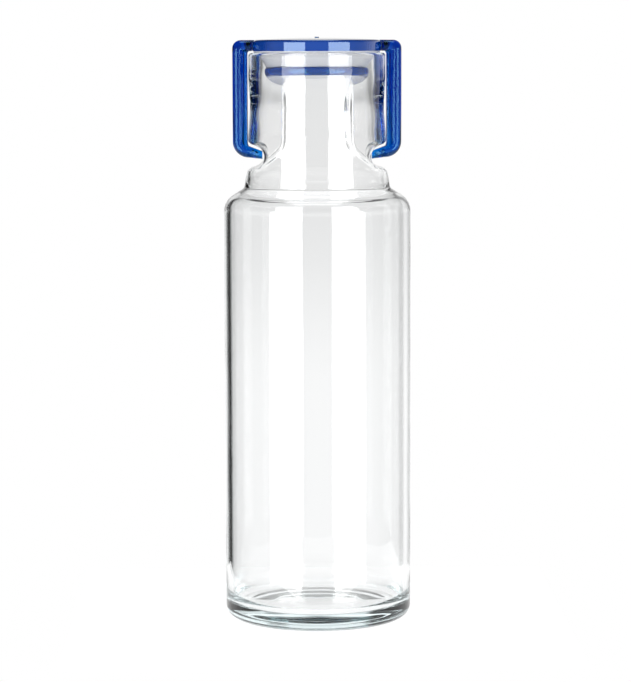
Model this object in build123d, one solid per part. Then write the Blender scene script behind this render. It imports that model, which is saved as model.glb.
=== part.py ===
from build123d import *
import os

# A clear glass growler bottle with a clip-on stopper. The stopper is a lid that
# carries a silicone gasket and a retainer, with a clip arm hinged at each side.
# Each arm ends in a peg that sits in a short groove in the neck of the bottle.
#
# Millimetres, +Z up. The origin is the middle of the base on the plane that the
# bottle stands on. The clip arms lie towards +X and -X, and the front faces -Y.

# ---- driving dimensions: bottle ----
BODY_RADIUS = 45.2
WALL = 2.9
HEEL_RADIUS = 6.0
INNER_HEEL_RADIUS = 7.0
PUNT_RADIUS = 34.0          # of the ring that the bottle stands on
PUNT_ROUND = 1.5
PUNT_CROWN_RADIUS = 20.4    # where the hollow base starts to curve down
PUNT_CROWN_DEPTH = 2.6
PUNT_CROWN_ROUND = 20.0
PUNT_DEPTH = 3.5
BASE_THICKNESS = 7.5

SHOULDER_Z = 203.7          # where the body wall would meet the shoulder slope
SHOULDER_RADIUS = 9.5
INNER_SHOULDER_Z = 202.5
NECK_FOOT_Z = 209.9
NECK_FOOT_OUTER = 35.3
NECK_FOOT_ROUND = 2.8
NECK_FLARE_Z = 219.5        # below this the neck widens towards its foot
NECK_FLARE_OUTER = 33.9
NECK_FLARE_ROUND = 30.0
NECK_TOP_Z = 262.0          # above this the neck is straight
NECK_TOP_OUTER = 33.0
NECK_TOP_ROUND = 60.0
RIM_Z = 275.0
RIM_ROUND = 1.5
BORE_RADIUS = 27.9
NECK_INSIDE = [             # radius, height and rounding, upwards from the shoulder
    (32.6, 208.5, 5.0),
    (31.2, 219.5, 20.0),
    (31.0, 235.0, 40.0),
    (29.2, 253.0, 40.0),
    (BORE_RADIUS, 267.0, 20.0),
]

# ---- driving dimensions: side recesses and peg grooves in the neck ----
RECESS_HALF_WIDTH = 28.4
RECESS_TOP_Z = 259.0
RECESS_SIDE_Z = 232.0       # where the straight sides end
RECESS_CHIN_HALF_WIDTH = 21.3
RECESS_CHIN_Z = 222.5
RECESS_BOTTOM_Z = 217.0
RECESS_CORNER_ROUND = 9.0
RECESS_FLOOR_TOP = 31.1     # radius of the recess floor at its upper end
RECESS_FLOOR_TOP_Z = 253.4
RECESS_RIDGE_RADIUS = 32.9  # of the ridge that the peg snaps over
RECESS_RIDGE_Z = 234.0
RECESS_FLOOR_ROUND = 8.0
GROOVE_Z = 225.4            # a groove across each side takes the peg of an arm
GROOVE_X = 31.0             # from the bottle's axis to the groove's own axis
GROOVE_RADIUS = 5.5
GROOVE_LENGTH = 48.0        # the ends run out of the round neck on both sides
GROOVE_WALL = 1.7

# ---- driving dimensions: stopper ----
LID_RADIUS = 31.0
LID_THICKNESS = 5.3
LID_PLATE = 2.2
LID_SKIRT = 2.6
LID_DOME = 1.0
LID_EDGE_ROUND = 1.3
GATE_MARK_RADIUS = 1.0
GATE_MARK_HEIGHT = 1.5
GASKET_FLANGE = 0.8
GASKET_FLANGE_RADIUS = 30.4
GASKET_FLANGE_ROUND = 0.2
GASKET_ROOT_RADIUS = 26.9
GASKET_LIP_RADIUS = 27.5
GASKET_LIP_Z = 272.5
GASKET_LIP_ROUND = 0.8
GASKET_END_RADIUS = 24.3
GASKET_END_ROUND = 0.5
STEM_RADIUS = 13.4
STEM_BORE = 10.6
RETAINER_RADIUS = 25.2
RETAINER_TOP_Z = 268.6
RETAINER_THICKNESS = 4.1
RETAINER_LOWER_ROUND = 1.9
RETAINER_UPPER_ROUND = 1.2
RETAINER_BOSS_HEIGHT = 3.4
RETAINER_BOSS_ROUND = 0.5

# ---- driving dimensions: clip arms and hinges ----
ARM_INNER_X = 33.4
ARM_OUTER_X = 40.7
ARM_WIDTH = 12.0
ARM_FOOT_WIDTH = 5.4
ARM_SEAM_GAP = 0.25
ARM_CORNER_TOP = 4.0
ARM_CORNER_FOOT = 6.8
ARM_CORNER_INSIDE = 1.2
ARM_TAPER_Z = 242.0         # below this the strap narrows towards its foot
ARM_TAPER_ROUND = 20.0
ARM_FOOT_ROUND = 1.5
PEG_ROOT_X = 34.9           # the peg starts inside the strap
PEG_ROOT_Z = 227.7
PEG_ROOT_RADIUS = 2.7
PEG_ROOT_BOTTOM_Z = 224.8
PEG_TIP_X = 26.4
PEG_TIP_Z = 225.8
PEG_TIP_RADIUS = 1.95
PEG_TIP_ROUND = 0.5
HINGE_BARREL = 1.9          # radius of the knuckle about the hinge axis
HEAD_CORNER_ROUND = 1.89    # of the arm's head, where it turns beside the lid
HINGE_TONGUE = 5.0
TONGUE_DEPTH = 2.0          # of the tongue's root inside the lid's skirt
TONGUE_UNDERCUT = 0.5       # between the lid's underside and the tongue's
TONGUE_ROUND = 0.6
HINGE_SIDE_GAP = 0.2
FORK_REACH = 3.2            # of the slot past the hinge axis
FORK_CHEEK = 2.0            # length of pin in the front cheek of the fork
PIN_RADIUS = 1.0
PIN_CLEARANCE = 0.04
CUT_MARGIN = 1.0            # how far a cutting solid runs past what it cuts

# ---- worked out ----
INNER_RADIUS = BODY_RADIUS - WALL
LID_UNDERSIDE_Z = RIM_Z + GASKET_FLANGE
LID_TOP_Z = LID_UNDERSIDE_Z + LID_THICKNESS
LID_HOLLOW_RADIUS = LID_RADIUS - LID_SKIRT
LID_HOLLOW_TOP_Z = LID_TOP_Z - LID_PLATE
RETAINER_BOTTOM_Z = RETAINER_TOP_Z - RETAINER_THICKNESS
ARM_END_X = LID_RADIUS + ARM_SEAM_GAP
HINGE_X = ARM_END_X + HINGE_BARREL
HINGE_Z = LID_TOP_Z - HINGE_BARREL
FORK_SLOT = HINGE_TONGUE + 2 * HINGE_SIDE_GAP
PIN_FRONT_Y = -(FORK_SLOT / 2 + FORK_CHEEK)


def outline(corners, plane=Plane.XZ):
    """A closed face from (u, v, rounding) corners on the plane."""
    face = make_face(Polyline(*[(u, v) for u, v, _ in corners], close=True))
    for u, v, rounding in corners:
        if rounding > 0:
            corner = face.vertices().sort_by_distance((u, v, 0))[0]
            face = fillet(corner, rounding)
    return plane * face


def turned(corners):
    """A solid of revolution about Z from (radius, z, rounding) corners."""
    return revolve(outline(corners), Axis.Z)


def bar(corners, width):
    """A profile in X and Z, thickened evenly to both sides of the XZ plane."""
    return extrude(outline(corners), amount=width / 2, both=True)


def both_sides(piece):
    return [piece, mirror(piece, Plane.YZ)]


# ---- bottle ----
def bottle_outside():
    return turned([
        (0, PUNT_DEPTH, 0),
        (PUNT_CROWN_RADIUS, PUNT_CROWN_DEPTH, PUNT_CROWN_ROUND),
        (PUNT_RADIUS, 0, PUNT_ROUND),
        (BODY_RADIUS, 0, HEEL_RADIUS),
        (BODY_RADIUS, SHOULDER_Z, SHOULDER_RADIUS),
        (NECK_FOOT_OUTER, NECK_FOOT_Z, NECK_FOOT_ROUND),
        (NECK_FLARE_OUTER, NECK_FLARE_Z, NECK_FLARE_ROUND),
        (NECK_TOP_OUTER, NECK_TOP_Z, NECK_TOP_ROUND),
        (NECK_TOP_OUTER, RIM_Z, RIM_ROUND),
        (0, RIM_Z, 0),
    ])


def bottle_inside():
    """The space for the liquid, which runs out through the mouth."""
    return turned([
        (0, BASE_THICKNESS, 0),
        (INNER_RADIUS, BASE_THICKNESS, INNER_HEEL_RADIUS),
        (INNER_RADIUS, INNER_SHOULDER_Z, SHOULDER_RADIUS - WALL),
        *NECK_INSIDE,
        (BORE_RADIUS, RIM_Z + CUT_MARGIN, 0),
        (0, RIM_Z + CUT_MARGIN, 0),
    ])


def recess():
    """The shallow shield-shaped hollow in one side of the neck, towards +X."""
    shield = outline([
        (-RECESS_HALF_WIDTH, RECESS_TOP_Z, RECESS_CORNER_ROUND),
        (RECESS_HALF_WIDTH, RECESS_TOP_Z, RECESS_CORNER_ROUND),
        (RECESS_HALF_WIDTH, RECESS_SIDE_Z, RECESS_CORNER_ROUND),
        (RECESS_CHIN_HALF_WIDTH, RECESS_CHIN_Z, RECESS_CORNER_ROUND),
        (0, RECESS_BOTTOM_Z, RECESS_CORNER_ROUND),
        (-RECESS_CHIN_HALF_WIDTH, RECESS_CHIN_Z, RECESS_CORNER_ROUND),
        (-RECESS_HALF_WIDTH, RECESS_SIDE_Z, RECESS_CORNER_ROUND),
    ], Plane.YZ)
    window = extrude(shield, amount=BODY_RADIUS)
    floor = turned([
        (0, RECESS_BOTTOM_Z - CUT_MARGIN, 0),
        (RECESS_RIDGE_RADIUS, RECESS_BOTTOM_Z - CUT_MARGIN, 0),
        (RECESS_RIDGE_RADIUS, RECESS_RIDGE_Z, RECESS_FLOOR_ROUND),
        (RECESS_FLOOR_TOP, RECESS_FLOOR_TOP_Z, RECESS_FLOOR_ROUND),
        (RECESS_FLOOR_TOP, RECESS_TOP_Z + CUT_MARGIN, 0),
        (0, RECESS_TOP_Z + CUT_MARGIN, 0),
    ])
    return window - floor


def groove(radius):
    """A level round bar across the neck's +X side. It cuts deepest in the middle."""
    return Pos(GROOVE_X, 0, GROOVE_Z) * Rot(90, 0, 0) * Cylinder(radius, GROOVE_LENGTH)


def glass_bottle():
    """The glass behind each groove stands into the neck as a bump."""
    liquid_space = bottle_inside()
    for bump in both_sides(groove(GROOVE_RADIUS + GROOVE_WALL)):
        liquid_space = liquid_space - bump
    glass = bottle_outside() - liquid_space
    for hollow in both_sides(recess()) + both_sides(groove(GROOVE_RADIUS)):
        glass = glass - hollow
    return glass


# ---- stopper ----
def hinge_tongue():
    """The lug on the lid's +X side that the fork of the arm straddles."""
    lug_start = LID_RADIUS - TONGUE_DEPTH
    lug_bottom = LID_UNDERSIDE_Z + TONGUE_UNDERCUT
    lug = bar([
        (lug_start, lug_bottom, 0),
        (HINGE_X, lug_bottom, TONGUE_ROUND),
        (HINGE_X, LID_TOP_Z, 0),
        (lug_start, LID_TOP_Z, 0),
    ], HINGE_TONGUE)
    knuckle_place = Plane.XZ.offset(-HINGE_TONGUE / 2) * Pos(HINGE_X, HINGE_Z)
    knuckle = knuckle_place * extrude(Circle(HINGE_BARREL), amount=HINGE_TONGUE)
    return lug + knuckle


def pin_hole(radius, front_y, back_y):
    """A round hole or pin along Y on the +X hinge axis."""
    place = Plane.XZ.offset(-back_y) * Pos(HINGE_X, HINGE_Z)
    return place * extrude(Circle(radius), amount=back_y - front_y)


def lid_disc():
    """The round cover, slightly domed, with a rounded upper edge and hollow below."""
    edge_top = (LID_RADIUS, LID_TOP_Z)
    crown = (0, LID_TOP_Z + LID_DOME)
    middle_of_dome = (LID_RADIUS / 2, LID_TOP_Z + LID_DOME * 3 / 4)
    sides = Polyline(crown, (0, LID_HOLLOW_TOP_Z), (LID_HOLLOW_RADIUS, LID_HOLLOW_TOP_Z),
                     (LID_HOLLOW_RADIUS, LID_UNDERSIDE_Z), (LID_RADIUS, LID_UNDERSIDE_Z), edge_top)
    half = make_face(sides + ThreePointArc(edge_top, middle_of_dome, crown))
    edge_corner = half.vertices().sort_by_distance((*edge_top, 0))[0]
    return revolve(Plane.XZ * fillet(edge_corner, LID_EDGE_ROUND), Axis.Z)


def lid():
    stem_end = Pos(0, 0, RETAINER_TOP_Z)
    stem_height = LID_HOLLOW_TOP_Z - RETAINER_TOP_Z
    stem = stem_end * extrude(Circle(STEM_RADIUS) - Circle(STEM_BORE), amount=stem_height)
    gate_mark = Pos(0, 0, LID_TOP_Z) * extrude(Circle(GATE_MARK_RADIUS), amount=GATE_MARK_HEIGHT)
    body = lid_disc() + stem + gate_mark
    for tongue in both_sides(hinge_tongue()):
        body = body + tongue
    for hole in both_sides(pin_hole(PIN_RADIUS + PIN_CLEARANCE, -HINGE_TONGUE, HINGE_TONGUE)):
        body = body - hole
    return body


def gasket():
    """The silicone plug: it fills the lid's hollow and its lip seals in the mouth."""
    return turned([
        (STEM_RADIUS, RETAINER_TOP_Z, 0),
        (GASKET_END_RADIUS, RETAINER_TOP_Z, GASKET_END_ROUND),
        (GASKET_LIP_RADIUS, GASKET_LIP_Z, GASKET_LIP_ROUND),
        (GASKET_ROOT_RADIUS, RIM_Z, 0),
        (GASKET_FLANGE_RADIUS, RIM_Z, GASKET_FLANGE_ROUND),
        (GASKET_FLANGE_RADIUS, LID_UNDERSIDE_Z, 0),
        (LID_HOLLOW_RADIUS, LID_UNDERSIDE_Z, 0),
        (LID_HOLLOW_RADIUS, LID_HOLLOW_TOP_Z, 0),
        (STEM_RADIUS, LID_HOLLOW_TOP_Z, 0),
    ])


def plug_retainer():
    return turned([
        (0, RETAINER_BOTTOM_Z, 0),
        (RETAINER_RADIUS, RETAINER_BOTTOM_Z, RETAINER_LOWER_ROUND),
        (RETAINER_RADIUS, RETAINER_TOP_Z, RETAINER_UPPER_ROUND),
        (STEM_BORE, RETAINER_TOP_Z, 0),
        (STEM_BORE, RETAINER_TOP_Z + RETAINER_BOSS_HEIGHT, RETAINER_BOSS_ROUND),
        (0, RETAINER_TOP_Z + RETAINER_BOSS_HEIGHT, 0),
    ])


# ---- clip arms ----
def clip_arm():
    """The arm at the +X side: a forked head, a strap and a peg."""
    strap = bar([
        (ARM_END_X, LID_UNDERSIDE_Z, 0),
        (ARM_END_X, LID_TOP_Z, HEAD_CORNER_ROUND),
        (ARM_OUTER_X, LID_TOP_Z, ARM_CORNER_TOP),
        (ARM_OUTER_X, PEG_ROOT_BOTTOM_Z, ARM_CORNER_FOOT),
        (ARM_INNER_X, PEG_ROOT_BOTTOM_Z, 0),
        (ARM_INNER_X, LID_UNDERSIDE_Z, ARM_CORNER_INSIDE),
    ], ARM_WIDTH)
    side_view = outline([
        (-ARM_WIDTH / 2, LID_TOP_Z + CUT_MARGIN, 0),
        (ARM_WIDTH / 2, LID_TOP_Z + CUT_MARGIN, 0),
        (ARM_WIDTH / 2, ARM_TAPER_Z, ARM_TAPER_ROUND),
        (ARM_FOOT_WIDTH / 2, PEG_ROOT_BOTTOM_Z, ARM_FOOT_ROUND),
        (-ARM_FOOT_WIDTH / 2, PEG_ROOT_BOTTOM_Z, ARM_FOOT_ROUND),
        (-ARM_WIDTH / 2, ARM_TAPER_Z, ARM_TAPER_ROUND),
    ], Plane.YZ)
    strap = strap & extrude(side_view, amount=ARM_OUTER_X + CUT_MARGIN)
    slot = bar([
        (ARM_END_X - CUT_MARGIN, LID_UNDERSIDE_Z - CUT_MARGIN, 0),
        (HINGE_X + FORK_REACH, LID_UNDERSIDE_Z - CUT_MARGIN, 0),
        (HINGE_X + FORK_REACH, LID_TOP_Z + CUT_MARGIN, 0),
        (ARM_END_X - CUT_MARGIN, LID_TOP_Z + CUT_MARGIN, 0),
    ], FORK_SLOT)
    pin_bore = pin_hole(PIN_RADIUS, PIN_FRONT_Y, ARM_WIDTH / 2 + CUT_MARGIN)
    return strap + peg() - slot - pin_bore


def peg():
    """The round peg, thicker at its root, that leans down towards its tip."""
    root = Vector(PEG_ROOT_X, 0, PEG_ROOT_Z)
    tip = Vector(PEG_TIP_X, 0, PEG_TIP_Z)
    place = Plane(origin=root, x_dir=(0, 1, 0), z_dir=(tip - root).normalized())
    cone = Cone(PEG_ROOT_RADIUS, PEG_TIP_RADIUS, (tip - root).length,
                align=(Align.CENTER, Align.CENTER, Align.MIN))
    return place * fillet(cone.edges().group_by(Axis.Z)[-1], PEG_TIP_ROUND)


def hinge_pin():
    """A plain pin, pushed in from the back of the fork."""
    return pin_hole(PIN_RADIUS, PIN_FRONT_Y, ARM_WIDTH / 2)


def main():
    os.makedirs("parts", exist_ok=True)
    arm = clip_arm()
    pin = hinge_pin()
    nodes = {
        "glass_bottle": glass_bottle(),
        "lid": lid(),
        "gasket": gasket(),
        "plug_retainer": plug_retainer(),
        "arm_right": arm,
        "arm_left": mirror(arm, Plane.YZ),
        "hinge_pin_right": pin,
        "hinge_pin_left": mirror(pin, Plane.YZ),
    }
    for name, shape in nodes.items():
        export_step(shape, f"parts/{name}.step")


main()
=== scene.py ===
import bmesh
import bpy
import math
import numpy as np
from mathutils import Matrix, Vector


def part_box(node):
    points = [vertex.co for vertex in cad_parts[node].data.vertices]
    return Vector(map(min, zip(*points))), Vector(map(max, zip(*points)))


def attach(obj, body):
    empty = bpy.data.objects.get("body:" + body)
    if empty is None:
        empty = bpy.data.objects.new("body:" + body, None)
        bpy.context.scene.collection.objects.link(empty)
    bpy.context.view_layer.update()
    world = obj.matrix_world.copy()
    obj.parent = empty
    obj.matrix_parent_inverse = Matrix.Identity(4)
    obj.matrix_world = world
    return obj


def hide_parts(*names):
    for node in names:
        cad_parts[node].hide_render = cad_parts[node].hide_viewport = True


# A clear glass growler bottle with a clip-on stopper of translucent blue plastic.
# The bottle and the two clip arms are made here as smooth meshes in place of their
# CAD solids. The lid, gasket, retainer and hinge pins are the CAD parts themselves.

MM = 0.001
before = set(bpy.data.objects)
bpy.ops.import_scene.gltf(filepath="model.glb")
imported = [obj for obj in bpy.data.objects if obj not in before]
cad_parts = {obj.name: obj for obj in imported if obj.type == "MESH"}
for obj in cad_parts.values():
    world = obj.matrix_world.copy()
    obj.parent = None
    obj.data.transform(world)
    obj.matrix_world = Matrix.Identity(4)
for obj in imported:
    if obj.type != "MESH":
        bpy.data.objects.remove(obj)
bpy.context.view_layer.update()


def box_mm(node):
    """The low and high corners of a node's CAD box, in millimetres."""
    low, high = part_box(node)
    return Vector(low) / MM, Vector(high) / MM


# ---- sizes, in millimetres ----
BOTTLE_HIGH = box_mm("glass_bottle")[1]
BODY_RADIUS = BOTTLE_HIGH.x
RIM_Z = BOTTLE_HIGH.z
ARM_HIGH = box_mm("arm_right")[1]
ARM_TOP_Z = ARM_HIGH.z
LID_THICKNESS = 5.3
LID_UNDERSIDE_Z = ARM_TOP_Z - LID_THICKNESS
PIN_LOW, PIN_HIGH = box_mm("hinge_pin_right")

WALL = 2.9
HEEL_RADIUS = 6.0            # rounding where the base meets the body
PUNT_RADIUS = 34.0           # of the dished underside
PUNT_DEPTH = 3.5
BASE_THICKNESS = 7.5
SHOULDER_Z = RIM_Z - 71.3
SHOULDER_RADIUS = 9.5
NECK_FOOT_Z = RIM_Z - 65.1
NECK_FOOT_OUTER = 35.3
NECK_TOP_OUTER = 33.0
NECK_SKIN = 31.0             # above the neck's foot, only its outside has a larger radius
BORE_RADIUS = 27.9
RING_GAP = 9.0               # longest run between two rings of the bottle
NECK_RING_GAP = 0.85
POLE_RISE = 0.02             # of the end points above the smallest rings

RECESS_HALF_ARC = 35.2       # along the neck's surface, from the middle of a side
RECESS_TOP_Z = RIM_Z - 10.0
RECESS_FOOT_Z = RIM_Z - 58.6
RECESS_FOOT_CURVE = 0.0106   # how fast the lower edge rises towards the sides
RECESS_FOOT_SLOPE = 0.85     # how steep the lower edge is beside the side edges
RECESS_CORNER = 1.5          # softness where those edges meet
RECESS_DEPTH = 1.9           # near the side edges
MIDDLE_DEPTH = 1.0           # in the middle of a side
MIDDLE_HALF_ARC = 12.0       # where the middle's depth starts to grow
MIDDLE_RAMP = 18.0
RECESS_RAMP = 3.6            # width of the sloping edge of a recess
RECESS_TOP_RAMP = 17.0
RECESS_DEEPEST_Z = RIM_Z - 25.0
RIDGE_Z = RIM_Z - 41.0       # the ridge that a peg snaps over
RIDGE_DEPTH = 0.3
GROOVE_Z = RIM_Z - 49.6
GROOVE_X = 31.0
GROOVE_RADIUS = 5.5
GROOVE_FADE = 2.0            # how fast a groove's face moves outwards above and below it
GROOVE_LEAST_COSINE = 0.3    # keeps a groove's face finite at the bottle's front and back
OUTER_SOFTNESS = 0.45        # of the edges where grooves and recesses meet
INNER_SOFTNESS = 0.4
LEAST_WALL = 1.2             # of glass behind the recesses and grooves


# ---- helpers ----
ARC_STEP = math.radians(7)
NEARLY_STRAIGHT = math.radians(89.9)     # half of a corner that is left as it is


def rounded_line(corners, longest):
    """Points along (u, v, rounding) corners: straight runs joined by tangent arcs."""
    points = [np.array(corners[0][:2], float)]
    for before, corner, after in zip(corners, corners[1:], corners[2:]):
        here = np.array(corner[:2], float)
        back = np.array(before[:2], float) - here
        ahead = np.array(after[:2], float) - here
        back /= np.linalg.norm(back)
        ahead /= np.linalg.norm(ahead)
        half = math.acos(float(np.clip(back @ ahead, -1, 1))) / 2
        radius = corner[2]
        if radius <= 0 or half > NEARLY_STRAIGHT:
            points.append(here)
            continue
        reach = radius / math.tan(half)
        between = (back + ahead) / np.linalg.norm(back + ahead)
        middle = here + between * radius / math.sin(half)
        start = here + back * reach - middle
        turn = math.pi - 2 * half
        sign = 1 if back[0] * ahead[1] - back[1] * ahead[0] < 0 else -1
        steps = max(2, math.ceil(turn / ARC_STEP))
        for k in range(steps + 1):
            a = sign * turn * k / steps
            c, s = math.cos(a), math.sin(a)
            turned = np.array([c * start[0] - s * start[1], s * start[0] + c * start[1]])
            points.append(middle + turned)
    points.append(np.array(corners[-1][:2], float))
    dense = [points[0]]
    for a, b in zip(points, points[1:]):
        limit = longest(b) if callable(longest) else longest
        n = max(1, math.ceil(np.linalg.norm(b - a) / limit))
        dense += [a + (b - a) * k / n for k in range(1, n + 1)]
    return np.array(dense)


def smooth(x):
    """A soft step from 0 to 1."""
    x = np.clip(x, 0, 1)
    return x * x * (3 - 2 * x)


def smooth_min(values, width):
    """The least of the values, with the change from one to another softened."""
    stack = -np.stack([v / width for v in values])
    peak = stack.max(axis=0)
    return -width * (peak + np.log(np.exp(stack - peak).sum(axis=0)))


def mesh_object(name, vertices_mm, faces):
    """A smooth-shaded piece with its faces turned outwards."""
    mesh = bpy.data.meshes.new(name)
    mesh.from_pydata((np.asarray(vertices_mm) * MM).tolist(), [], faces)
    mesh.validate()
    shell = bmesh.new()
    shell.from_mesh(mesh)
    bmesh.ops.recalc_face_normals(shell, faces=shell.faces)
    shell.to_mesh(mesh)
    shell.free()
    mesh.update()
    mesh.shade_smooth()
    piece = bpy.data.objects.new(name, mesh)
    bpy.context.scene.collection.objects.link(piece)
    return piece


def lathe_faces(rows, columns):
    """Quads between rings of points, closed by two pole points that follow the rings."""
    faces = []
    for i in range(rows - 1):
        for j in range(columns):
            k = (j + 1) % columns
            here, ahead = i * columns, (i + 1) * columns
            faces.append((here + j, here + k, ahead + k, ahead + j))
    first, last = rows * columns, rows * columns + 1
    for j in range(columns):
        k = (j + 1) % columns
        faces.append((first, k, j))
        faces.append((last, (rows - 1) * columns + j, (rows - 1) * columns + k))
    return faces


# ---- glass bottle ----
def neck_step(point):
    """Longest run between two rings of the bottle: short where the recesses are."""
    beside_recess = RECESS_FOOT_Z - 4 < point[1] < RECESS_TOP_Z + 3
    return NECK_RING_GAP if beside_recess else RING_GAP


def ring_angles():
    """Angles round the bottle from +X: a degree apart across the recesses, then wider."""
    recess_end = 74
    quarter = np.concatenate([
        np.linspace(0, recess_end, recess_end, endpoint=False),
        np.linspace(recess_end, 90, 9, endpoint=False),
    ])
    half = np.unique(np.round(np.concatenate([quarter, [90], 180 - quarter]), 6))
    return np.radians(np.concatenate([half[:-1], half[:-1] + 180]))


def side_arc(turn):
    """Distance along the neck's surface from the middle of the nearer side."""
    return np.arctan2(np.abs(np.sin(turn)), np.abs(np.cos(turn))) * NECK_TOP_OUTER


def recess_foot(arc):
    """Height of a recess's lower edge."""
    return RECESS_FOOT_Z + RECESS_FOOT_CURVE * arc ** 2


def recess_depth(turn, z):
    """Depth of the shield-shaped recesses, whose upper end fades out gently."""
    arc = side_arc(turn)
    above_foot = (z - recess_foot(arc)) * RECESS_FOOT_SLOPE
    inside = smooth_min([above_foot, RECESS_HALF_ARC - arc], RECESS_CORNER)
    upper_end = smooth((RECESS_TOP_Z - z) / RECESS_TOP_RAMP)
    floor_rise = smooth((RECESS_DEEPEST_Z - z) / (RECESS_DEEPEST_Z - RIDGE_Z))
    middle = MIDDLE_DEPTH + (RIDGE_DEPTH - MIDDLE_DEPTH) * floor_rise
    near_edge = smooth((arc - MIDDLE_HALF_ARC) / MIDDLE_RAMP)
    depth = middle + (RECESS_DEPTH - middle) * near_edge
    return depth * upper_end * smooth(inside / RECESS_RAMP + 0.5)


def groove_face(turn, z):
    """Distance from the axis to the near face of a level round bar across a side."""
    lean = np.clip(GROOVE_RADIUS ** 2 - (z - GROOVE_Z) ** 2, 0, None)
    beyond = np.clip(np.abs(z - GROOVE_Z) - GROOVE_RADIUS, 0, None)
    across = np.maximum(np.abs(np.cos(turn)), GROOVE_LEAST_COSINE)
    return (GROOVE_X - np.sqrt(lean) + GROOVE_FADE * beyond) / across


def neck_face(turn, z, plain):
    """Outer radius of the neck, from its plain radius less the recesses and grooves."""
    recessed = plain - recess_depth(turn, z)
    return smooth_min([recessed, groove_face(turn, z)], OUTER_SOFTNESS)


def bottle_outer_line():
    """From the middle of the underside, up the outside and into the mouth."""
    return rounded_line([
        (PUNT_RADIUS * 0.06, PUNT_DEPTH, 0),
        (PUNT_RADIUS * 0.6, PUNT_DEPTH * 0.75, 20),        # dished underside
        (PUNT_RADIUS, 0, 1.5),                             # the ring it stands on
        (BODY_RADIUS, 0, HEEL_RADIUS),
        (BODY_RADIUS, SHOULDER_Z, SHOULDER_RADIUS),
        (NECK_FOOT_OUTER, NECK_FOOT_Z, 2.8),
        (NECK_TOP_OUTER + 0.9, NECK_FOOT_Z + 9.6, 30),     # the neck narrows to here
        (NECK_TOP_OUTER, RECESS_TOP_Z + 3, 60),
        (NECK_TOP_OUTER, RIM_Z, 1.5),
        (BORE_RADIUS, RIM_Z, 1.6),                         # lip of the mouth
        (BORE_RADIUS, RIM_Z - 6, 0),
    ], neck_step)


def bottle_inner_line():
    """From the mouth, down the inside to the middle of the floor."""
    return rounded_line([
        (BORE_RADIUS, RIM_Z - 6, 0),
        (BORE_RADIUS + 0.1, RIM_Z - 7, 30),
        (30.6, RIM_Z - 31, 100),                           # the mouth flares to here
        (31.1, RIM_Z - 40, 40),
        (32.0, NECK_FOOT_Z + 10, 20),
        (NECK_FOOT_OUTER - 2.0, NECK_FOOT_Z - 1.6, 11.0),
        (BODY_RADIUS - WALL, SHOULDER_Z - 1.2, SHOULDER_RADIUS - WALL),
        (BODY_RADIUS - WALL, BASE_THICKNESS, 7.0),
        (PUNT_RADIUS * 0.06, BASE_THICKNESS + 1.2, 0),
    ], neck_step)


def carve_neck(radius, z, turn, is_outer, outer):
    """Radii with the recesses and grooves cut in, and the least wall left behind them."""
    on_outside = (z > NECK_FOOT_Z) & (radius > NECK_SKIN)
    outside = np.where(on_outside, neck_face(turn, z, radius), radius)
    neck = outer[(outer[:, 1] > NECK_FOOT_Z) & (outer[:, 0] > NECK_SKIN)]
    plain = np.interp(z, neck[:, 1], neck[:, 0])
    behind = neck_face(turn, z, plain) - LEAST_WALL
    near_recess = (z > NECK_FOOT_Z + 3) & (z < RECESS_TOP_Z)
    inside = np.where(near_recess, smooth_min([radius, behind], INNER_SOFTNESS), radius)
    return np.where(is_outer[:, None], outside, inside)


def growler_glass():
    """The bottle: its outer and inner lines turned round the axis as one closed skin."""
    angles = ring_angles()
    outer = bottle_outer_line()
    inner = bottle_inner_line()[1:]
    line = np.concatenate([outer, inner])
    is_outer = np.arange(len(line)) < len(outer)
    radius = np.repeat(line[:, :1], len(angles), axis=1)
    z = np.repeat(line[:, 1:], len(angles), axis=1)
    turn = np.repeat(angles[None, :], len(line), axis=0)
    radius = carve_neck(radius, z, turn, is_outer, outer)
    points = np.stack([radius * np.cos(turn), radius * np.sin(turn), z], axis=-1).reshape(-1, 3)
    poles = [(0, 0, end[1] + POLE_RISE) for end in (line[0], line[-1])]
    points = np.concatenate([points, poles])
    return mesh_object("growler_glass", points, lathe_faces(len(line), len(angles)))


# ---- clip arms ----
ARM_OUTER_X = ARM_HIGH.x
ARM_INNER_X = 33.4
ARM_END_X = box_mm("lid")[1].y + 0.25    # just outside the lid's rim
ARM_HALF_WIDTH = ARM_HIGH.y
ARM_FOOT_Z = 224.8
PEG_TIP_X = 26.4
STRAP_THICKNESS = 5.6        # of the arm without its inner rib
RIB_HALF_WIDTH = 3.6
RIB_TAPER = 0.25             # share of its width that the rib loses towards its top
HEAD_CORNER = 4.0            # rounding of the outer line over the lid's rim
FOOT_CORNER = 7.6            # rounding of the outer line below

# shares of the arm at its end, before and after the head's corner, above the foot, at the tip
KNOTS = (0, 0.14, 0.3, 0.78, 1.0)
# millimetres from the corner, twice, and from the foot to those knots, on the arm's two lines
OUTER_SPANS = (4.0, 3.2, 9.3)
INNER_SPANS = (0.9, 1.3, 5.9)
RINGS_BETWEEN_KNOTS = (8, 14, 34, 26)
RIB_START, RIB_END, RIB_FADE = 0.16, 0.76, 0.12      # shares of the arm
NARROWS_FROM, NARROWS_OVER = 0.5, 0.36               # shares of the arm
END_ROUNDING = 1.6           # millimetres that the end loses from each side
END_ROUNDING_SHARE = 0.035


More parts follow.
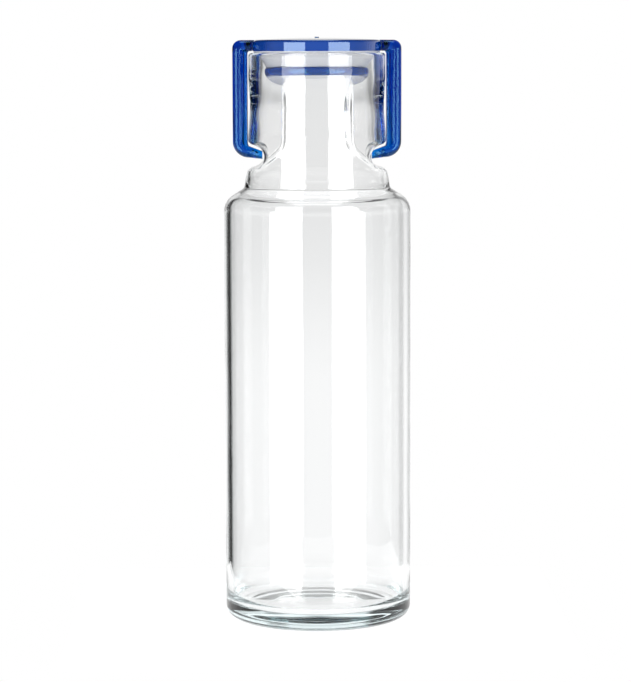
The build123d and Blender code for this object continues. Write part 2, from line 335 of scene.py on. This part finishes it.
def arm_section(thick, slab, half_width):
    """A closed outline (depth from the outer face, Y) of the strap and its inner rib."""
    round_radius = min(slab / 2, half_width)
    flat = half_width - round_radius
    points = [(0, t * flat) for t in np.linspace(0, 1, 3, endpoint=False)]
    for t in np.linspace(0, math.pi, 15):
        points.append((slab / 2 - slab / 2 * math.cos(t), flat + round_radius * math.sin(t)))
    rib = max(thick - slab, 0)
    edge = min(RIB_HALF_WIDTH, flat + round_radius * 0.5)
    points.append((slab, (flat + edge) / 2 if rib > 0 else flat * 0.8))
    for t in np.linspace(0, math.pi / 2, 5):
        points.append((slab + rib * math.sin(t), edge * (1 - RIB_TAPER * (1 - math.cos(t)))))
    points.append((thick, edge * 0.35))
    mirrored = [(u, -v) for u, v in points[1:]][::-1]
    return points + [(thick, 0)] + mirrored


def arm_lines():
    """The arm's outer and inner lines in (x, z), from its head to its peg."""
    outer = rounded_line([
        (ARM_END_X, ARM_TOP_Z, 0),
        (ARM_OUTER_X, ARM_TOP_Z, HEAD_CORNER),
        (ARM_OUTER_X, ARM_FOOT_Z + 0.1, FOOT_CORNER),
        (ARM_INNER_X - 1, ARM_FOOT_Z - 0.2, 30),
        (PEG_TIP_X, ARM_FOOT_Z - 0.95, 0),
    ], 2.0)
    inner = rounded_line([
        (ARM_END_X, LID_UNDERSIDE_Z, 0),
        (ARM_INNER_X, LID_UNDERSIDE_Z, 1.2),
        (ARM_INNER_X, ARM_FOOT_Z + 5.6, 0.9),
        (PEG_TIP_X, ARM_FOOT_Z + 2.9, 0),
    ], 2.0)
    return outer, inner


def along(line):
    """Distance of each point of a line from its start."""
    steps = np.linalg.norm(np.diff(line, axis=0), axis=1)
    return np.concatenate([[0], np.cumsum(steps)])


def at_shares(line, shares, head, leg, spans):
    """Points of a line at shares of the arm, with the knots set by its head and leg lengths."""
    before, after, above = spans
    distances = along(line)
    marks = [0, head - before, head + after, head + leg - above, distances[-1]]
    wanted = np.interp(shares, KNOTS, marks)
    return np.stack([np.interp(wanted, distances, line[:, k]) for k in range(2)], axis=1)


def arm_ring(share, a, b, side):
    """Points round the arm where its outer line passes a and its inner line passes b."""
    thick = float(np.linalg.norm(b - a))
    ribbed = smooth((share - RIB_START) / RIB_FADE) * (1 - smooth((share - RIB_END) / RIB_FADE))
    slab = thick - max(thick - STRAP_THICKNESS, 0) * float(ribbed)
    narrowing = float(smooth((share - NARROWS_FROM) / NARROWS_OVER))
    half_width = ARM_HALF_WIDTH + (thick / 2 - ARM_HALF_WIDTH) * narrowing
    before_round = 1 - min(share / END_ROUNDING_SHARE, 1)
    half_width -= END_ROUNDING * (1 - math.sqrt(max(0.0, 1 - before_round ** 2)))
    inward = (b - a) / thick
    section = arm_section(thick, slab, half_width)
    return [(side * (a[0] + inward[0] * u), v, a[1] + inward[1] * u) for u, v in section]


def clip_arm(side):
    """One arm. Side is 1 towards +X and -1 towards -X."""
    outer, inner = arm_lines()
    spans = zip(KNOTS, KNOTS[1:], RINGS_BETWEEN_KNOTS)
    shares = np.unique(np.concatenate([np.linspace(*span) for span in spans]))
    outer_points = at_shares(
        outer, shares, ARM_OUTER_X - ARM_END_X, ARM_TOP_Z - ARM_FOOT_Z, OUTER_SPANS)
    inner_points = at_shares(
        inner, shares, ARM_INNER_X - ARM_END_X, LID_UNDERSIDE_Z - ARM_FOOT_Z, INNER_SPANS)
    rings = [arm_ring(*station, side) for station in zip(shares, outer_points, inner_points)]
    points = [p for ring in rings for p in ring]
    poles = [np.mean(rings[0], axis=0), np.mean(rings[-1], axis=0)]
    faces = lathe_faces(len(rings), len(rings[0]))
    name = "clip_arm_right" if side > 0 else "clip_arm_left"
    return mesh_object(name, np.concatenate([points, poles]), faces)


# ---- fork of a clip arm ----
FORK_SLOT = 5.4              # room between the fork's cheeks for the lid's tongue
FORK_REACH = 3.2             # of the slot past the hinge axis
CLEAR = 1.0                  # how far a cutting tool stands out of what it cuts
PIN_MIDDLE = (PIN_LOW + PIN_HIGH) / 2
PIN_RADIUS = (PIN_HIGH.x - PIN_LOW.x) / 2
SHARP_EDGE = math.radians(40)


def cut_away(piece, tool):
    """Cuts the tool out of the piece and deletes the tool."""
    cut = piece.modifiers.new("cut", "BOOLEAN")
    cut.operation = "DIFFERENCE"
    cut.solver = "MANIFOLD"
    cut.object = tool
    bpy.context.view_layer.update()
    whole = piece.evaluated_get(bpy.context.evaluated_depsgraph_get())
    result = bpy.data.meshes.new_from_object(whole)
    piece.modifiers.clear()
    piece.data = result
    bpy.data.objects.remove(tool)


def prism(name, outline, centre, ends):
    """A tool with an (x, z) outline round a centre, between two ends in Y."""
    points = [(x, y, z) for y in ends for x, z in outline]
    points += [(centre[0], y, centre[1]) for y in ends]
    return mesh_object(name, points, lathe_faces(2, len(outline)))


def cut_slot(arm, side):
    """The slot between the fork's cheeks, for the lid's tongue."""
    low = Vector((ARM_END_X - CLEAR, -FORK_SLOT / 2, LID_UNDERSIDE_Z - CLEAR))
    high = Vector((PIN_MIDDLE.x + FORK_REACH, FORK_SLOT / 2, ARM_TOP_Z + CLEAR))
    corners = [(side * x, y, z) for x in (low.x, high.x)
               for y in (low.y, high.y) for z in (low.z, high.z)]
    faces = [(0, 1, 3, 2), (4, 6, 7, 5), (0, 4, 5, 1), (2, 3, 7, 6), (0, 2, 6, 4), (1, 5, 7, 3)]
    cut_away(arm, mesh_object("slot", corners, faces))


def cut_knuckle(arm, side):
    """The cheeks' upper corner, rounded about the hinge axis to clear the lid's rim."""
    x, z = PIN_MIDDLE.x, PIN_MIDDLE.z
    knuckle = x - ARM_END_X
    end_x, top_z = ARM_END_X - CLEAR, ARM_TOP_Z + CLEAR
    outline = [(end_x, z), (end_x, top_z), (x, top_z)]
    for a in np.radians(np.arange(0, 91, 10)):
        outline.append((x - knuckle * math.sin(a), z + knuckle * math.cos(a)))
    centre = np.mean(outline[:2] + outline[3:5], axis=0)
    outline = [(side * u, v) for u, v in outline]
    reach = ARM_HALF_WIDTH + CLEAR
    cut_away(arm, prism("knuckle", outline, (side * centre[0], centre[1]), (-reach, reach)))


def cut_bore(arm, side):
    """The bore for the hinge pin, open towards +Y and ending where the pin ends."""
    x, z = side * PIN_MIDDLE.x, PIN_MIDDLE.z
    outline = []
    for a in np.radians(np.arange(0, 360, 15)):
        outline.append((x + PIN_RADIUS * np.cos(a), z + PIN_RADIUS * np.sin(a)))
    cut_away(arm, prism("bore", outline, (x, z), (PIN_LOW.y, ARM_HALF_WIDTH + CLEAR)))


def cut_fork(arm, side):
    """Makes the arm's head a fork, and shades its cut edges sharp."""
    cut_slot(arm, side)
    cut_knuckle(arm, side)
    cut_bore(arm, side)
    arm.data.shade_smooth()
    arm.data.set_sharp_from_angle(angle=SHARP_EDGE)


# ---- materials ----
DYE = (0.0, 0.8, 0.93)       # what is left of white light: no red, most green and blue


def new_material(name):
    material = bpy.data.materials.new(name)
    material.use_nodes = True
    tree = material.node_tree
    return material, tree, tree.nodes["Principled BSDF"], tree.nodes["Material Output"]


def add_surface_ripple(tree, shader, scale, strength, distance):
    """Very faint unevenness of a moulded surface, from noise in object space."""
    place = tree.nodes.new("ShaderNodeTexCoord")
    noise = tree.nodes.new("ShaderNodeTexNoise")
    noise.inputs["Scale"].default_value = scale
    noise.inputs["Detail"].default_value = 2.0
    bump = tree.nodes.new("ShaderNodeBump")
    bump.inputs["Strength"].default_value = strength
    bump.inputs["Distance"].default_value = distance
    tree.links.new(place.outputs["Object"], noise.inputs["Vector"])
    tree.links.new(noise.outputs["Fac"], bump.inputs["Height"])
    tree.links.new(bump.outputs["Normal"], shader.inputs["Normal"])


def add_absorption(tree, output, colour, density):
    """Colour that deepens with the distance light travels inside the piece."""
    volume = tree.nodes.new("ShaderNodeVolumeAbsorption")
    volume.inputs["Color"].default_value = (*colour, 1)
    volume.inputs["Density"].default_value = density
    tree.links.new(volume.outputs["Volume"], output.inputs["Volume"])


def glass_material():
    material, tree, shader, output = new_material("clear_glass")
    shader.inputs["Base Color"].default_value = (1, 1, 1, 1)
    shader.inputs["Roughness"].default_value = 0.0
    shader.inputs["IOR"].default_value = 1.5
    shader.inputs["Transmission Weight"].default_value = 1.0
    add_surface_ripple(tree, shader, scale=28, strength=0.12, distance=0.0006)
    add_absorption(tree, output, (0.45, 0.9, 0.96), density=3.0)
    return material


def blue_material(name, colour, transmission, density, coat=0.0):
    """Tinted plastic. Its surface is clear only as far as its transmission says."""
    material, tree, shader, output = new_material(name)
    shader.inputs["Base Color"].default_value = (*colour, 1)
    shader.inputs["Specular Tint"].default_value = (0.3, 0.7, 1.0, 1)
    shader.inputs["Roughness"].default_value = 0.03
    shader.inputs["IOR"].default_value = 1.5
    shader.inputs["Transmission Weight"].default_value = transmission
    shader.inputs["Coat Weight"].default_value = coat
    add_surface_ripple(tree, shader, scale=60, strength=0.1, distance=0.0003)
    add_absorption(tree, output, DYE, density)
    return material


def silicone_material():
    material, tree, shader, _ = new_material("milky_silicone")
    shader.inputs["Base Color"].default_value = (0.94, 0.95, 1.0, 1)
    shader.inputs["Roughness"].default_value = 0.22
    shader.inputs["IOR"].default_value = 1.41
    shader.inputs["Transmission Weight"].default_value = 0.5
    add_surface_ripple(tree, shader, scale=90, strength=0.15, distance=0.0003)
    return material


# ---- assembly ----
def give(piece, material):
    piece.data.materials.clear()
    piece.data.materials.append(material)


glass = glass_material()
arm_blue = blue_material("blue_plastic", (0.01, 0.5, 0.9), 1.0, 1300.0)
lid_blue = blue_material("blue_plastic_lid", (0.001, 0.04, 0.27), 0.35, 300.0, coat=1.0)
retainer_blue = blue_material("blue_plastic_retainer", (0.001, 0.045, 0.3), 0.3, 100.0)
silicone = silicone_material()

bottle = growler_glass()
give(bottle, glass)
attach(bottle, "bottle")
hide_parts("glass_bottle")

for side, word in ((1, "right"), (-1, "left")):
    arm = clip_arm(side)
    cut_fork(arm, side)
    give(arm, arm_blue)
    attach(arm, f"arm_{word}")
    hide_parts(f"arm_{word}")

for node, material in (
    ("lid", lid_blue), ("plug_retainer", retainer_blue), ("gasket", silicone),
    ("hinge_pin_left", arm_blue), ("hinge_pin_right", arm_blue),
):
    give(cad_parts[node], material)


# ---- floor, light and camera ----
FLOOR_REACH = 0.12
FLOOR_Z = -0.0002            # just under the bottle, so that the two never touch

# brightness by degrees to the right of straight behind the bottle: bright there, with a
# wide dark band on the left and a thin grey one on the right, and grey towards the camera
BANDS = [
    (-180, 0.5), (-95, 0.45), (-66, 0.03), (-23, 0.03), (-18, 0.84), (13, 0.84),
    (16, 0.4), (23, 0.4), (26, 0.84), (70, 0.8), (95, 0.5), (180, 0.5),
]


def white_floor():
    """A small white floor whose own light hides the shadow under the bottle."""
    mesh = bpy.data.meshes.new("floor")
    corners = [(-1, -1), (1, -1), (1, 1), (-1, 1)]
    points = [(FLOOR_REACH * x, FLOOR_REACH * y, FLOOR_Z) for x, y in corners]
    mesh.from_pydata(points, [], [(0, 1, 2, 3)])
    floor = bpy.data.objects.new("floor", mesh)
    bpy.context.scene.collection.objects.link(floor)
    material, _, shader, _ = new_material("white_floor")
    shader.inputs["Base Color"].default_value = (0.06, 0.06, 0.06, 1)
    shader.inputs["Roughness"].default_value = 0.9
    shader.inputs["Specular IOR Level"].default_value = 0.0
    shader.inputs["Emission Color"].default_value = (1, 1, 1, 1)
    shader.inputs["Emission Strength"].default_value = 1.0
    mesh.materials.append(material)


def add_bands(tree, direction):
    """Grey by azimuth, from the brightness bands."""
    azimuth = tree.nodes.new("ShaderNodeMath")
    azimuth.operation = "ARCTAN2"
    tree.links.new(direction.outputs["X"], azimuth.inputs[0])
    tree.links.new(direction.outputs["Y"], azimuth.inputs[1])
    share = tree.nodes.new("ShaderNodeMapRange")
    share.inputs["From Min"].default_value = -math.pi
    share.inputs["From Max"].default_value = math.pi
    tree.links.new(azimuth.outputs["Value"], share.inputs["Value"])
    ramp = tree.nodes.new("ShaderNodeValToRGB")
    tree.links.new(share.outputs["Result"], ramp.inputs["Fac"])
    stops = ramp.color_ramp.elements
    for stop, (_, level) in ((stops[0], BANDS[0]), (stops[-1], BANDS[-1])):
        stop.color = (level, level, level, 1)
    for degrees, level in BANDS[1:-1]:
        stops.new((degrees + 180) / 360).color = (level, level, level, 1)
    return ramp.outputs["Color"]


def add_height_step(tree, direction, start, end, before, after):
    """A level that goes softly from before to after as the view's height goes start to end."""
    level = tree.nodes.new("ShaderNodeMapRange")
    level.interpolation_type = "SMOOTHSTEP"
    level.inputs["From Min"].default_value = start
    level.inputs["From Max"].default_value = end
    level.inputs["To Min"].default_value = before
    level.inputs["To Max"].default_value = after
    tree.links.new(direction.outputs["Z"], level.inputs["Value"])
    return level.outputs["Result"]


def add_white(tree, share, colour):
    """The colour, turned to white by the share."""
    mix = tree.nodes.new("ShaderNodeMix")
    mix.data_type = "RGBA"
    mix.inputs["B"].default_value = (1, 1, 1, 1)
    tree.links.new(share, mix.inputs["Factor"])
    tree.links.new(colour, mix.inputs["A"])
    return mix.outputs["Result"]


def studio_world():
    """Brightness bands above a white table and below a dim ceiling. The camera sees white."""
    world = bpy.data.worlds.new("studio")
    bpy.context.scene.world = world
    world.use_nodes = True
    tree = world.node_tree
    place = tree.nodes.new("ShaderNodeTexCoord")
    direction = tree.nodes.new("ShaderNodeSeparateXYZ")
    tree.links.new(place.outputs["Generated"], direction.inputs["Vector"])
    bands = add_bands(tree, direction)
    low_wall = add_height_step(tree, direction, start=-0.05, end=-0.13, before=1.0, after=1.2)
    ceiling = add_height_step(tree, direction, start=0.15, end=0.4, before=1.0, after=0.35)
    table = add_height_step(tree, direction, start=-0.205, end=-0.26, before=0.0, after=1.0)
    both = tree.nodes.new("ShaderNodeMath")
    both.operation = "MULTIPLY"
    tree.links.new(low_wall, both.inputs[0])
    tree.links.new(ceiling, both.inputs[1])
    walls = tree.nodes.new("ShaderNodeVectorMath")
    walls.operation = "SCALE"
    tree.links.new(bands, walls.inputs[0])
    tree.links.new(both.outputs["Value"], walls.inputs["Scale"])
    room = add_white(tree, table, walls.outputs["Vector"])
    path = tree.nodes.new("ShaderNodeLightPath")
    seen = add_white(tree, path.outputs["Is Camera Ray"], room)
    tree.links.new(seen, tree.nodes["Background"].inputs["Color"])


def area_light(name, width, height, radiance, place):
    """An area light facing down, which the camera does not see."""
    lamp = bpy.data.lights.new(name, "AREA")
    lamp.shape = "RECTANGLE"
    lamp.size, lamp.size_y = width, height
    lamp.energy = radiance * math.pi * width * height
    light = bpy.data.objects.new(name, lamp)
    light.location = place
    light.visible_camera = False
    bpy.context.scene.collection.objects.link(light)
    return light


def softbox(name, azimuth, radiance):
    """A tall light aimed at the axis. Azimuth is from the camera's side, to the right."""
    distance, middle_z, width, height = 0.7, 0.0, 0.5, 0.85
    a = math.radians(azimuth)
    place = Vector((math.sin(a) * distance, -math.cos(a) * distance, middle_z))
    light = area_light(name, width, height, radiance, place)
    aim = Vector((0, 0, middle_z)) - place
    light.rotation_euler = aim.to_track_quat("-Z", "Y").to_euler()


def camera():
    """Level with the lid, looking down enough to frame the whole bottle."""
    data = bpy.data.cameras.new("camera")
    data.sensor_width = 36.0
    data.lens = 144.6
    data.clip_end = 20
    eye = bpy.data.objects.new("camera", data)
    distance, height, shift_left = 1.327, 0.2794, 0.0006
    turn, tilt_down, roll = math.radians(-1.0), math.radians(6.2), math.radians(0.17)
    eye.location = (math.sin(turn) * distance - shift_left, -math.cos(turn) * distance, height)
    eye.rotation_euler = (math.radians(90) - tilt_down, roll, turn)
    bpy.context.scene.collection.objects.link(eye)
    bpy.context.scene.camera = eye


white_floor()
studio_world()
softbox("softbox_left", azimuth=-41, radiance=6)
softbox("softbox_right", azimuth=39, radiance=5.5)
area_light("top_light", width=0.9, height=0.9, radiance=2.5, place=(0, 0, 1.5))
camera()

scene = bpy.context.scene
scene.view_settings.view_transform = "Standard"
scene.cycles.max_bounces = 24
scene.cycles.transmission_bounces = 24
scene.cycles.glossy_bounces = 12
scene.cycles.transparent_max_bounces = 24
scene.cycles.use_denoising = True
